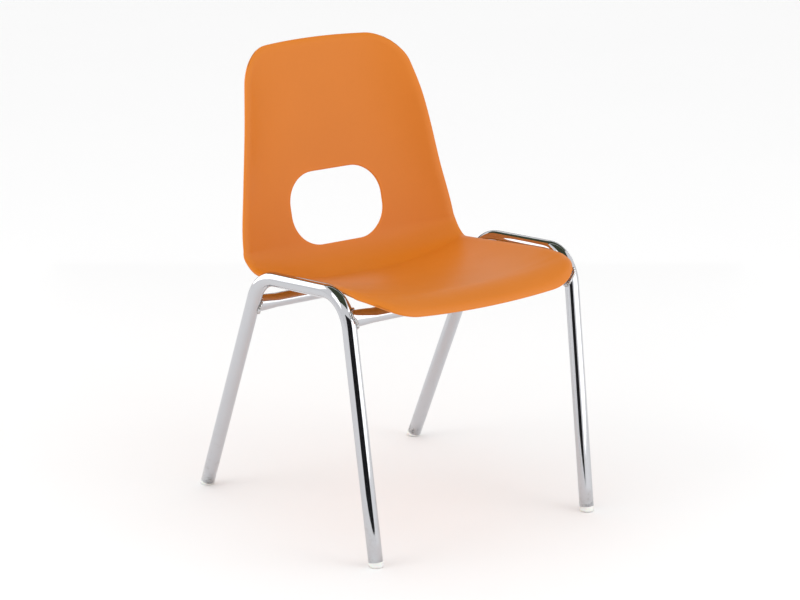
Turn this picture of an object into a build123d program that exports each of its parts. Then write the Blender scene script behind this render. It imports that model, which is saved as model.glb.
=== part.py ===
from build123d import *
import math
import os

# Stacking chair: one moulded shell on a bent-tube frame.  All sizes in millimetres.
# X runs across the chair, the sitter faces -Y, +Z is up and the floor is Z = 0.

# ---- tube stock ----
tube_diameter = 25.0          # side hoops and cross rails use the same stock
tube_wall = 1.5

# ---- side hoops ----
front_foot_gap = 429.0        # clear width between the front tubes at the floor
rear_foot_gap = 436.0
foot_depth_spacing = 514.0    # centre to centre, front to rear
front_leg_rake = 8.8          # degrees from upright, foot forward of the bend
rear_leg_rake = 24.4          # degrees from upright, foot behind the bend
hoop_splay = 1.17             # degrees each hoop leans outward as it rises
hoop_front_height = 452.0     # where the leg and top-rail centre lines meet
hoop_rear_height = 430.0
hoop_front_bend = 60.0        # centre-line radii
hoop_rear_bend = 80.0

# ---- cross rails ----
front_rail_height = 411.5
rear_rail_height = 374.0
rail_end_height = 30.0        # the ends are squashed to an oval where they are welded
rail_end_thickness = 18.0
rail_squash_length = 34.0
weld_leg = 3.5                # size of the weld bead measured off the rail surface
weld_length = 7.0

# ---- feet ----
foot_height = 9.0             # along the leg, from the tube end to the floor
foot_edge_radius = 2.5
foot_stem_length = 24.0
foot_stem_clearance = 0.1     # per side, in the bore of the tube
foot_stem_groove = 0.8

# ---- shell ----
shell_thickness = 5.0
shell_rail_gap = 3.5          # rail surface to the underside on the centre line
overall_height = 790.0
nose_radius = 122.0
nose_angle = 30.0             # slope of the front edge, degrees
seat_bend_radius = 72.0       # seat into back
seat_bend_behind_rail = -6.5  # where the bend starts, measured from the rear rail
lower_recline = 15.7          # back from upright just above the seat
upper_recline = 10.3          # and at the top edge
lip_width = 16.0              # rolled rim all round
lip_drop = 6.0
top_arch = 9.0                # rise of the top edge from the corners to the middle
front_bow = 10.0              # the front edge reaches this much further in the middle
top_corner_radius = 55.0
front_corner_radius = 87.0
trim_spill = 60.0             # how far the trimming tools run past the shell
trim_reach = 90.0
over_seat_height = 36.0       # tool height over the seat, less than the bend radius

# half widths and side heights along the shell.  Stations: 0 front edge, 1 end of the
# nose, 2 start of the bend, 3 end of the bend, 4 top edge.
half_width_at = [(0.0, 226.0), (0.95, 226.0), (1.2, 223.0), (1.85, 222.5), (2.4, 227.0),
                 (3.0, 226.5), (3.3, 210.0), (3.65, 189.5), (3.8, 178.0), (4.0, 160.0)]
side_height_at = [(0.0, 4.0), (0.15, 6.0), (0.4, 10.0), (0.7, 12.5), (0.95, 15.0),
                  (1.15, 23.0), (1.4, 26.0), (2.0, 29.0), (2.5, 34.0), (3.0, 35.0),
                  (3.25, 38.5), (3.5, 44.0), (3.65, 44.0), (3.8, 37.0), (4.0, 23.0)]
# how late the sides curl up: 2 is an even scoop, more is flatter in the middle
curl_power_at = [(0.0, 2.0), (1.0, 2.3), (2.0, 2.7), (3.0, 3.0)]

# ---- opening in the back ----
opening_width = 195.0
opening_height = 130.0
opening_corner_radius = 57.0
opening_above_bend = 52.0     # end of the bend to the middle of the opening

# ---- shell fixings ----
mount_spacing = 150.0         # across the chair
saddle_length = 36.0          # moulded saddle, measured along the rail
saddle_wall = 4.5
saddle_reach = 2.0            # how far above the rail centre the saddle cheeks stop
saddle_clearance = 0.1
screw_diameter = 6.0
screw_clearance = 0.25        # radial, through the rail and the washer
pilot_clearance = 0.1
screw_engagement = 7.0        # above the rail, and 3 mm under the seat surface
pilot_tip_gap = 1.0
screw_head_diameter = 12.0
screw_head_height = 4.0
recess_width = 1.6
recess_span = 6.5
recess_depth = 2.2
washer_diameter = 16.0
washer_thickness = 2.5        # under the lowest line of the rail

# ---- derived ----
front_foot_spacing = front_foot_gap + tube_diameter    # centre to centre
rear_foot_spacing = rear_foot_gap + tube_diameter
tube_radius = tube_diameter / 2
bore_radius = tube_radius - tube_wall
front_slope = math.tan(math.radians(front_leg_rake))
rear_slope = math.tan(math.radians(rear_leg_rake))
splay_slope = math.tan(math.radians(hoop_splay))
SIDES = (("left", -1), ("right", 1))


def front_leg_at(height, side):
    """Centre of a front leg at a height."""
    x = side * (front_foot_spacing / 2 + splay_slope * height)
    return Vector(x, -foot_depth_spacing / 2 + front_slope * height, height)


def rear_leg_at(height, side):
    """Centre of a rear leg at a height."""
    x = side * (rear_foot_spacing / 2 + splay_slope * height)
    return Vector(x, foot_depth_spacing / 2 - rear_slope * height, height)


def leg_end(leg_at, side):
    """Centre of the cut tube end, foot_height up the leg from the floor."""
    direction = (leg_at(1.0, side) - leg_at(0.0, side)).normalized()
    return leg_at(0.0, side) + direction * foot_height


def bend_arc(before, corner, after, radius):
    """Tangent arc of a given radius that rounds one corner of the hoop."""
    back = (before - corner).normalized()
    ahead = (after - corner).normalized()
    half = math.acos(back.dot(ahead)) / 2
    centre = corner + (back + ahead).normalized() * (radius / math.sin(half))
    start = corner + back * (radius / math.tan(half))
    end = corner + ahead * (radius / math.tan(half))
    middle = centre + (corner - centre).normalized() * radius
    return start, middle, end


def hoop_path(side):
    """Centre line of a hoop: rear foot, rear bend, top rail, front bend, front foot."""
    rear_foot = leg_end(rear_leg_at, side)
    rear_corner = rear_leg_at(hoop_rear_height, side)
    front_corner = front_leg_at(hoop_front_height, side)
    front_foot = leg_end(front_leg_at, side)
    rear = bend_arc(rear_foot, rear_corner, front_corner, hoop_rear_bend)
    front = bend_arc(rear_corner, front_corner, front_foot, hoop_front_bend)
    return Wire([
        Edge.make_line(rear_foot, rear[0]),
        Edge.make_three_point_arc(*rear),
        Edge.make_line(rear[2], front[0]),
        Edge.make_three_point_arc(*front),
        Edge.make_line(front[2], front_foot),
    ])


def hoop_rod(side, radius):
    """Solid rod along a hoop."""
    path = hoop_path(side)
    start = Plane(origin=path @ 0, z_dir=path % 0)
    return sweep(start * Circle(radius), path=path)


def side_hoop(side):
    return hoop_rod(side, tube_radius) - hoop_rod(side, bore_radius)


def rail_origin(leg_at, height):
    """Middle of a cross rail."""
    return Vector(0, leg_at(height, 1).Y, height)


def oval_between(origin, x_round, x_oval, radius, growth):
    """Round section at one x lofted to the squashed section at another."""
    oval_z = rail_end_height / 2 - growth
    oval_y = rail_end_thickness / 2 - growth
    round_plane = Plane(origin=(x_round, origin.Y, origin.Z), x_dir=(0, 1, 0), z_dir=(1, 0, 0))
    oval_plane = Plane(origin=(x_oval, origin.Y, origin.Z), x_dir=(0, 1, 0), z_dir=(1, 0, 0))
    return loft([round_plane * Circle(radius), oval_plane * Ellipse(oval_y, oval_z)])


def rail_body(leg_at, height, radius, growth):
    """Rail outline, solid, running to the centre planes of the hoops."""
    origin = rail_origin(leg_at, height)
    reach = abs(leg_at(height, 1).X)
    straight = reach - tube_radius - rail_squash_length
    body = Pos(origin.X, origin.Y, origin.Z) * Rot(0, 90, 0) * Cylinder(radius, 2 * straight)
    for _, side in SIDES:
        body += oval_between(origin, side * straight, side * reach, radius, growth)
    return body


def mount_frame(leg_at, height, side):
    """Frame of one shell fixing: on the rail axis, Z square to the seat."""
    origin = rail_origin(leg_at, height)
    centre = (side * mount_spacing / 2, origin.Y, origin.Z)
    return Plane(origin=centre, x_dir=(1, 0, 0), z_dir=seat_normal())


def along(frame, low, high, radius):
    """Round bar on the Z axis of a frame."""
    return frame * Pos(0, 0, (low + high) / 2) * Cylinder(radius, high - low)


def cross_rail(leg_at, height, rods):
    rail = rail_body(leg_at, height, tube_radius, 0) - rail_body(leg_at, height, bore_radius, tube_wall)
    for rod in rods:
        rail -= rod
    for _, side in SIDES:
        frame = mount_frame(leg_at, height, side)
        rail -= along(frame, -tube_diameter, tube_diameter, screw_diameter / 2 + screw_clearance)
    return rail


def weld_bead(leg_at, height, side, rod):
    """Bead round the squashed rail end, against the hoop."""
    origin = rail_origin(leg_at, height)
    reach = abs(leg_at(height, 1).X)
    thick = (rail_end_thickness / 2, rail_end_height / 2)
    outer_x = side * (reach - rail_end_thickness / 2)
    inner_x = side * (reach - tube_radius - weld_length / 2)
    frames = [Plane(origin=(x, origin.Y, origin.Z), x_dir=(0, 1, 0), z_dir=(1, 0, 0))
              for x in (inner_x, outer_x)]
    toe = frames[0] * Ellipse(thick[0] + weld_leg / 3, thick[1] + weld_leg / 3)
    root = frames[1] * Ellipse(thick[0] + weld_leg, thick[1] + weld_leg)
    bead = loft([toe, root]) - rod - rail_body(leg_at, height, tube_radius, 0)
    return max(bead.solids(), key=lambda solid: solid.volume)


# ---- shell surface ----

def interpolate(table, station):
    """Smooth curve through a table of (station, value)."""
    if station <= table[0][0]:
        return table[0][1]
    if station >= table[-1][0]:
        return table[-1][1]
    index = max(i for i, row in enumerate(table[:-1]) if row[0] <= station)
    slopes = []
    for i in (index, index + 1):
        low = max(i - 1, 0)
        high = min(i + 1, len(table) - 1)
        slopes.append((table[high][1] - table[low][1]) / (table[high][0] - table[low][0]))
    step = table[index + 1][0] - table[index][0]
    t = (station - table[index][0]) / step
    blend = t * t * (3 - 2 * t)
    value = table[index][1] * (1 - blend) + table[index + 1][1] * blend
    value += step * slopes[0] * t * (1 - t) ** 2
    return value - step * slopes[1] * (1 - t) * t ** 2


def seat_angle():
    """Slope of the line over both rails, negative going rearward."""
    front = rail_origin(front_leg_at, front_rail_height)
    rear = rail_origin(rear_leg_at, rear_rail_height)
    return math.atan2(rear.Z - front.Z, rear.Y - front.Y)


def seat_normal():
    return Vector(0, -math.sin(seat_angle()), math.cos(seat_angle()))


def turn(point, heading, length, turned):
    """Walk along an arc of the side profile; returns the new (y, z)."""
    if abs(turned) < 1e-9:
        return point[0] + length * math.cos(heading), point[1] + length * math.sin(heading)
    radius = length / turned
    y = point[0] + radius * (math.sin(heading + turned) - math.sin(heading))
    z = point[1] - radius * (math.cos(heading + turned) - math.cos(heading))
    return y, z


def profile_segments():
    """Side profile of the seating surface on the centre line.

    Four arcs or lines, front edge to top edge: (start point, heading, length, turn)."""
    slope = seat_angle()
    front = rail_origin(front_leg_at, front_rail_height)
    rear = rail_origin(rear_leg_at, rear_rail_height)
    lift = seat_normal() * (tube_radius + shell_rail_gap + shell_thickness)
    seat_start = (front.Y + lift.Y, front.Z + lift.Z)
    seat_length = (rear - front).length + seat_bend_behind_rail
    nose_turn = math.radians(nose_angle) - slope
    nose_length = nose_radius * nose_turn
    nose_end = turn(seat_start, slope, -nose_length, nose_turn)
    bend_start = turn(seat_start, slope, seat_length, 0)
    back_heading = math.radians(90 - lower_recline)
    bend_turn = back_heading - slope
    back_start = turn(bend_start, slope, seat_bend_radius * bend_turn, bend_turn)
    back_turn = math.radians(lower_recline - upper_recline)
    mean_heading = back_heading + back_turn / 2
    back_length = (overall_height - back_start[1]) / math.sin(mean_heading)
    return [
        (nose_end, math.radians(nose_angle), nose_length, -nose_turn),
        (seat_start, slope, seat_length, 0),
        (bend_start, slope, seat_bend_radius * bend_turn, bend_turn),
        (back_start, back_heading, back_length, back_turn),
    ]


PROFILE = profile_segments()


def profile_at(station):
    """Point and heading of the side profile at a station from 0 to 4."""
    index = min(int(station), 3)
    point, heading, length, turned = PROFILE[index]
    part = station - index
    return turn(point, heading, length * part, turned * part), heading + turned * part


def distance_to_edge(across, station):
    """Distance in the shell surface from a point to the trimmed edge."""
    half_width = interpolate(half_width_at, station)
    index = min(int(station), 3)
    lengths = [segment[2] for segment in PROFILE]
    behind = sum(lengths[:index]) + lengths[index] * (station - index)
    spread = (across / half_width) ** 2
    ahead = sum(lengths) - behind - top_arch * spread
    behind -= front_bow * spread
    aside = half_width - abs(across)
    radius, end = (front_corner_radius, behind) if behind < ahead else (top_corner_radius, ahead)
    if aside < radius and end < radius:
        return radius - math.hypot(radius - aside, radius - end)
    return min(aside, end)


def surface_height(across, station):
    """Height of the shell surface above the centre-line profile, square to it."""
    half_width = interpolate(half_width_at, station)
    side_height = interpolate(side_height_at, station) + lip_drop
    edge = max(distance_to_edge(across, station), -lip_width / 2)
    roll = max(0.0, (lip_width - edge) / lip_width)
    curl = (abs(across) / half_width) ** interpolate(curl_power_at, station)
    return side_height * curl - lip_drop * roll ** 2


def section_point(across, height, station):
    """Point at (across, height) in the section plane of a station."""
    (y, z), heading = profile_at(station)
    return Vector(across, y - height * math.sin(heading), z + height * math.cos(heading))


def section_offset(across, station, depth):
    """Point a given depth below the surface, square to it in the section plane."""
    step = 0.5
    rise = surface_height(across + step, station) - surface_height(across - step, station)
    slope = rise / (2 * step)
    size = math.hypot(slope, 1)
    height = surface_height(across, station) - depth / size
    return section_point(across + depth * slope / size, height, station)


# ---- shell solid ----

def section_stations():
    """Where the shell is cut into sections: close together where it turns or rolls."""
    nose = [-0.1, 0.0, 0.06, 0.12, 0.2, 0.3, 0.45, 0.65, 0.85]
    seat = [1.0, 1.15, 1.3, 1.5, 1.7, 1.88]
    bend = [2.0, 2.2, 2.4, 2.6, 2.8]
    back = [3.0, 3.15, 3.3, 3.45, 3.6, 3.72, 3.82, 3.89, 3.94, 3.97, 4.0, 4.02]
    return nose + seat + bend + back


def section_places(half_width):
    """Distances across at which a section is sampled, closest over the rolled rim."""
    inset = [0.0, 0.35, 0.75, 1.1, 1.7, 2.7]
    outer = [half_width - lip_width * step for step in inset]
    inner = [outer[-1] * step for step in (0.84, 0.66, 0.45, 0.22)]
    right = outer + inner
    return [-x for x in right] + [0.0] + right[::-1]


def shell_section(station):
    """Closed outline of the shell wall at one station."""
    places = section_places(interpolate(half_width_at, station))
    upper = [section_offset(x, station, 0) for x in places]
    lower = [section_offset(x, station, shell_thickness) for x in places]
    return Wire([
        Edge.make_spline(upper),
        Edge.make_line(upper[-1], lower[-1]),
        Edge.make_spline(lower[::-1]),
        Edge.make_line(lower[0], upper[0]),
    ])


def shell_blank():
    sections = [shell_section(station) for station in section_stations()]
    return Solid.make_loft(sections)


def end_edge_points(front):
    """Trimmed edge at one end of the shell, from a side to the middle, in the surface."""
    total = sum(segment[2] for segment in PROFILE)
    radius = front_corner_radius if front else top_corner_radius
    arch = front_bow if front else top_arch
    turns = [math.radians(90) * step / 8 for step in range(9)]
    places = [(radius * (1 - math.cos(t)), radius * (1 - math.sin(t))) for t in turns]
    corner_width = interpolate(half_width_at, 0.0 if front else 4.0)
    flat = corner_width - radius
    places += [(corner_width - flat * step, 0.0) for step in (0.75, 0.5, 0.25, 0.0)]
    points = []
    for aside, end in places:
        across = corner_width - aside
        for _ in range(6):
            rise = arch * (across / corner_width) ** 2
            travelled = end + rise if front else total - end - rise
            station = station_at(travelled)
            across = max(0.0, interpolate(half_width_at, station) - aside)
            if aside >= radius:
                across = corner_width - aside
        points.append((across, station))
    return points


def station_at(travelled):
    """Station number a given distance along the profile from the front edge."""
    for index, segment in enumerate(PROFILE):
        if travelled <= segment[2] or index == len(PROFILE) - 1:
            return index + travelled / segment[2]
        travelled -= segment[2]
    return float(len(PROFILE))


def surface_frame(station):
    """Frame lying on the profile: X across, Y toward the top edge, Z to the sitter."""
    (y, z), heading = profile_at(station)
    return Plane(origin=(0, y, z), x_dir=(1, 0, 0), z_dir=(0, -math.sin(heading), math.cos(heading)))


def end_trim(front):
    """Prism of everything outside the rounded front or top end of the shell."""
    frame = surface_frame(0.0 if front else 4.0)
    line = []
    for across, station in end_edge_points(front):
        local = frame.to_local_coords(section_offset(across, station, shell_thickness / 2))
        line.append((local.X, local.Y))
    line[-1] = (0.0, line[-1][1])
    mirrored = [(-x, y) for x, y in line[-2::-1]]
    outward = -trim_spill if front else trim_spill
    far = line[-1][1] + outward
    side = line[0][0] + trim_spill
    start = line[0][1]
    edge = Edge.make_spline([Vector(x, y) for x, y in line + mirrored])
    outline = Wire([
        Edge.make_line((side, start), line[0]),
        edge,
        Edge.make_line(mirrored[-1], (-side, start)),
        Edge.make_line((-side, start), (-side, far)),
        Edge.make_line((-side, far), (side, far)),
        Edge.make_line((side, far), (side, start)),
    ])
    return extrude(frame * Face(outline), amount=trim_reach, both=True)


def back_opening():
    length = PROFILE[3][2]
    frame = surface_frame(3 + opening_above_bend / length)
    outline = RectangleRounded(opening_width, opening_height, opening_corner_radius)
    return extrude(frame * outline, amount=trim_spill, both=True)


def space_over_seat():
    """Everything above the middle of the seat wall, over the saddles only."""
    half = mount_spacing / 2 + saddle_length
    places = [half * step / 4 for step in range(-4, 5)]
    sections = []
    for station in (0.5, 0.7, 0.85, 1.0, 1.3, 1.7, 2.0, 2.15, 2.3, 2.4):
        low = [section_offset(x, station, shell_thickness / 2) for x in places]
        high = [section_point(x, over_seat_height, station) for x in (places[0], places[-1])]
        sections.append(Wire([
            Edge.make_spline(low),
            Edge.make_line(low[-1], high[1]),
            Edge.make_line(high[1], high[0]),
            Edge.make_line(high[0], low[0]),
        ]))
    return Solid.make_loft(sections)


def pilot_hole(frame):
    """Blind hole for one shell screw, from the rail axis up into the shell."""
    tip = tube_radius + screw_engagement + pilot_tip_gap
    return along(frame, 0, tip, screw_diameter / 2 + pilot_clearance)


def shell_saddle(frame, over_seat):
    """Moulded saddle that straddles a cross rail and takes the screw."""
    channel = tube_radius + saddle_clearance
    width = 2 * (channel + saddle_wall)
    tall = over_seat_height
    block = frame * Pos(0, 0, saddle_reach + tall / 2) * Box(saddle_length, width, tall)
    rail = frame * Rot(0, 90, 0) * Cylinder(channel, 2 * saddle_length)
    return block - over_seat - rail - pilot_hole(frame)


def seat_shell():
    shell = shell_blank() - end_trim(True) - end_trim(False) - back_opening()
    over_seat = space_over_seat()
    for _, leg_at, height in RAILS:
        for _, side in SIDES:
            frame = mount_frame(leg_at, height, side)
            shell += shell_saddle(frame, over_seat)
            shell -= pilot_hole(frame)
    return shell


# ---- feet and fasteners ----

def foot(leg_at, side):
    """Plug in the tube end with a base cut flat to the floor."""
    end = leg_end(leg_at, side)
    direction = (leg_at(1.0, side) - leg_at(0.0, side)).normalized()
    frame = Plane(origin=end, z_dir=direction)
    base = along(frame, -2 * foot_height, 0, tube_radius)
    floor = Pos(0, 0, -foot_height) * Box(2 * foot_depth_spacing, 2 * foot_depth_spacing, 2 * foot_height)
    base -= floor
    sole = base.edges().filter_by(lambda edge: edge.bounding_box().max.Z < foot_edge_radius / 10)
    base = fillet(sole, foot_edge_radius)
    stem_radius = bore_radius - foot_stem_clearance
    stem = along(frame, 0, foot_stem_length, stem_radius)
    groove = along(frame, foot_stem_length / 3, foot_stem_length * 2 / 3, bore_radius)
    groove -= along(frame, 0, foot_stem_length, stem_radius - foot_stem_groove)
    return base + (stem - groove)


def saddle_washer(frame):
    """Washer with a hollow top that beds on the round rail."""
    low = -(tube_radius + washer_thickness)
    high = -math.sqrt(tube_radius ** 2 - (washer_diameter / 2) ** 2)
    washer = along(frame, low, high, washer_diameter / 2)
    washer -= frame * Rot(0, 90, 0) * Cylinder(tube_radius, 2 * washer_diameter)
    return washer - along(frame, low * 2, 0, screw_diameter / 2 + screw_clearance)


def shell_screw(frame):
    """Pan-head screw, driven up through the rail into the shell saddle."""
    head_top = -(tube_radius + washer_thickness)
    head_bottom = head_top - screw_head_height
    head = Pos(0, 0, (head_top + head_bottom) / 2) * Cylinder(screw_head_diameter / 2, screw_head_height)
    head = fillet(head.faces().sort_by(Axis.Z)[0].edges(), screw_head_height / 2)
    for angle in (0, 90):
        slot = Box(recess_span, recess_width, recess_depth)
        head -= Pos(0, 0, head_bottom + recess_depth / 2) * Rot(0, 0, angle) * slot
    tip = tube_radius + screw_engagement
    shank = Pos(0, 0, (head_top + tip) / 2) * Cylinder(screw_diameter / 2, tip - head_top)
    shank = chamfer(shank.faces().sort_by(Axis.Z)[-1].edges(), screw_diameter / 6)
    return frame * (head + shank)


# ---- build ----

RAILS = (("front", front_leg_at, front_rail_height), ("rear", rear_leg_at, rear_rail_height))


def build_parts():
    parts = {"seat_shell": seat_shell()}
    rods = {}
    for name, side in SIDES:
        rods[name] = hoop_rod(side, tube_radius)
        parts[name + "_side_hoop"] = side_hoop(side)
    for end, leg_at, height in RAILS:
        parts[end + "_cross_rail"] = cross_rail(leg_at, height, list(rods.values()))
        bead = weld_bead(leg_at, height, -1, rods["left"])
        for name, side in SIDES:
            corner = end + "_" + name
            frame = mount_frame(leg_at, height, side)
            parts[corner + "_weld"] = bead if side < 0 else mirror(bead, about=Plane.YZ)
            parts[corner + "_foot"] = foot(leg_at, side)
            parts[corner + "_shell_screw"] = shell_screw(frame)
            parts[corner + "_saddle_washer"] = saddle_washer(frame)
    return parts


def base_centre(parts):
    """Middle of the overall footprint at floor level."""
    boxes = [part.bounding_box() for part in parts]
    x = (min(box.min.X for box in boxes) + max(box.max.X for box in boxes)) / 2
    y = (min(box.min.Y for box in boxes) + max(box.max.Y for box in boxes)) / 2
    return x, y, min(box.min.Z for box in boxes)


def main():
    parts = build_parts()
    x, y, z = base_centre(parts.values())
    os.makedirs("parts", exist_ok=True)
    for name, part in parts.items():
        export_step(Pos(-x, -y, -z) * part, "parts/" + name + ".step")


main()
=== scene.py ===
import math

import bmesh
import bpy
from mathutils import Matrix, Vector


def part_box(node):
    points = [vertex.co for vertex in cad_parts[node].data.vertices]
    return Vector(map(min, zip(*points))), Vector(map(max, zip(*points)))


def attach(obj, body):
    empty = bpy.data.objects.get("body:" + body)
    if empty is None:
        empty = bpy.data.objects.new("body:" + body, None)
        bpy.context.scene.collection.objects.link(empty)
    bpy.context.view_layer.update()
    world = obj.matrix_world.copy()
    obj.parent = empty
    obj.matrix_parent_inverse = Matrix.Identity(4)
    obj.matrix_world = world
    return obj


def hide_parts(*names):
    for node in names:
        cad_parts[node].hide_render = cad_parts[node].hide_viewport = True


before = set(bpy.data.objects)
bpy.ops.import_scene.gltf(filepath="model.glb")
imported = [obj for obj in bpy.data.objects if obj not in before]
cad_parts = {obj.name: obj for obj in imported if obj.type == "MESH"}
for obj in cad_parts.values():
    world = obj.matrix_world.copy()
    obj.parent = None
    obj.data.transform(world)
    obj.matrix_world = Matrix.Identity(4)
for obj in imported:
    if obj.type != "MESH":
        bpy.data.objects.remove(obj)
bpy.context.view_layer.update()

# ---------------------------------------------------------------------------
# Side hoops.  Each is one length of 25 mm steel tube, bent twice into an inverted U,
# then polished and chrome plated after welding.  The legs rake and the hoops lean out.
# ---------------------------------------------------------------------------
TUBE_RADIUS = 0.0125
TUBE_WALL = 0.0015
FRONT_FOOT_SPACING = 0.454
REAR_FOOT_SPACING = 0.461
FOOT_DEPTH_SPACING = 0.514
FRONT_RAKE = math.tan(math.radians(8.8))
REAR_RAKE = math.tan(math.radians(24.4))
SPLAY = math.tan(math.radians(1.17))
HOOP_FRONT_HEIGHT = 0.452
HOOP_REAR_HEIGHT = 0.430
HOOP_FRONT_BEND = 0.060
HOOP_REAR_BEND = 0.080
FOOT_HEIGHT = 0.009
REAR_RAIL_HEIGHT = 0.374
TUBE_SEGMENTS = 64
STRAIGHT_STEPS = 12
BEND_STEPS = 28
SIDES = {"left": -1, "right": 1}    # as seen by someone who stands in front of the chair
MIX_FACTOR, MIX_FIRST, MIX_SECOND, MIX_RESULT = 0, 6, 7, 2

# The frame's origin is the middle of the whole footprint, so the chair sits a little
# off the middle of its feet.  The rear rail's box says by how much.
rear_rail_low, rear_rail_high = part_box("rear_cross_rail")
rear_rail_y = (rear_rail_low.y + rear_rail_high.y) / 2
FRAME_SHIFT = rear_rail_y - (FOOT_DEPTH_SPACING / 2 - REAR_RAKE * REAR_RAIL_HEIGHT)


def front_leg_at(height, side):
    x = side * (FRONT_FOOT_SPACING / 2 + SPLAY * height)
    return Vector((x, FRAME_SHIFT - FOOT_DEPTH_SPACING / 2 + FRONT_RAKE * height, height))


def rear_leg_at(height, side):
    x = side * (REAR_FOOT_SPACING / 2 + SPLAY * height)
    return Vector((x, FRAME_SHIFT + FOOT_DEPTH_SPACING / 2 - REAR_RAKE * height, height))


def leg_end(leg_at, side):
    """Centre of the cut end of a leg, where the foot starts."""
    up = (leg_at(1.0, side) - leg_at(0.0, side)).normalized()
    return leg_at(0.0, side) + up * FOOT_HEIGHT


def rounded_corner(before, corner, after, radius):
    """Where a bend starts and ends, its centre, its axis and how far it turns."""
    back = (before - corner).normalized()
    ahead = (after - corner).normalized()
    half = back.angle(ahead) / 2
    start = corner + back * (radius / math.tan(half))
    end = corner + ahead * (radius / math.tan(half))
    centre = corner + (back + ahead).normalized() * (radius / math.sin(half))
    axis = (-back).cross(ahead).normalized()
    return start, end, centre, axis, math.pi - 2 * half


def hoop_corners(side):
    """Rear foot, rear corner, front corner and front foot of one hoop's centre line."""
    return [leg_end(rear_leg_at, side), rear_leg_at(HOOP_REAR_HEIGHT, side),
            front_leg_at(HOOP_FRONT_HEIGHT, side), leg_end(front_leg_at, side)]


def ring_edges(geometry):
    """The edges among what a bmesh operator made."""
    return [item for item in geometry if isinstance(item, bmesh.types.BMEdge)]


def circle_ring(work, segments, radius, place):
    """Adds a circle of edges, flat across the Z axis of its place."""
    made = bmesh.ops.create_circle(work, segments=segments, radius=radius, matrix=place)
    return list({edge for vertex in made["verts"] for edge in vertex.link_edges})


def push_ring(work, ring, travel, steps):
    """Carries a ring of edges along a straight length of tube."""
    for _ in range(steps):
        made = bmesh.ops.extrude_edge_only(work, edges=ring)["geom"]
        ring = ring_edges(made)
        moved = {vertex for edge in ring for vertex in edge.verts}
        bmesh.ops.translate(work, verts=list(moved), vec=travel / steps)
    return ring


def bent_tube(work, side, radius):
    """One wall of a hoop, from the cut end of the rear leg to that of the front leg."""
    rear_foot, rear_corner, front_corner, front_foot = hoop_corners(side)
    rear_bend = rounded_corner(rear_foot, rear_corner, front_corner, HOOP_REAR_BEND)
    front_bend = rounded_corner(rear_corner, front_corner, front_foot, HOOP_FRONT_BEND)
    up = (rear_corner - rear_foot).to_track_quat("Z", "Y").to_matrix().to_4x4()
    place = Matrix.Translation(rear_foot) @ up
    first = circle_ring(work, TUBE_SEGMENTS, radius, place)
    ring = push_ring(work, first, rear_bend[0] - rear_foot, STRAIGHT_STEPS)
    for bend, next_stop in ((rear_bend, front_bend[0]), (front_bend, front_foot)):
        _, end, centre, axis, angle = bend
        turned = bmesh.ops.spin(work, geom=ring, cent=centre, axis=axis, angle=angle, steps=BEND_STEPS)
        ring = ring_edges(turned["geom_last"])
        ring = push_ring(work, ring, next_stop - end, STRAIGHT_STEPS)
    return first, ring


def finished_piece(name, work, finish, node):
    """Turns a bmesh into a smooth-shaded piece on the chair, standing for its CAD node."""
    bmesh.ops.recalc_face_normals(work, faces=work.faces)
    mesh = bpy.data.meshes.new(name)
    work.to_mesh(mesh)
    work.free()
    mesh.shade_smooth()
    mesh.materials.append(finish)
    piece = bpy.data.objects.new(name, mesh)
    bpy.context.scene.collection.objects.link(piece)
    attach(piece, "root")
    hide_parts(node)
    return piece


class Signal:
    """One output of a shader node.  Sums, differences and products add Math nodes."""

    def __init__(self, finish, socket):
        self.finish = finish
        self.socket = socket

    def math(self, operation, first, second):
        return self.finish.node("ShaderNodeMath", {"operation": operation}, {0: first, 1: second})

    def __add__(self, other):
        return self.math("ADD", self, other)

    def __sub__(self, other):
        return self.math("SUBTRACT", self, other)

    def __rsub__(self, other):
        return self.math("SUBTRACT", other, self)

    def __mul__(self, other):
        return self.math("MULTIPLY", self, other)

    __radd__ = __add__
    __rmul__ = __mul__


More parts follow.
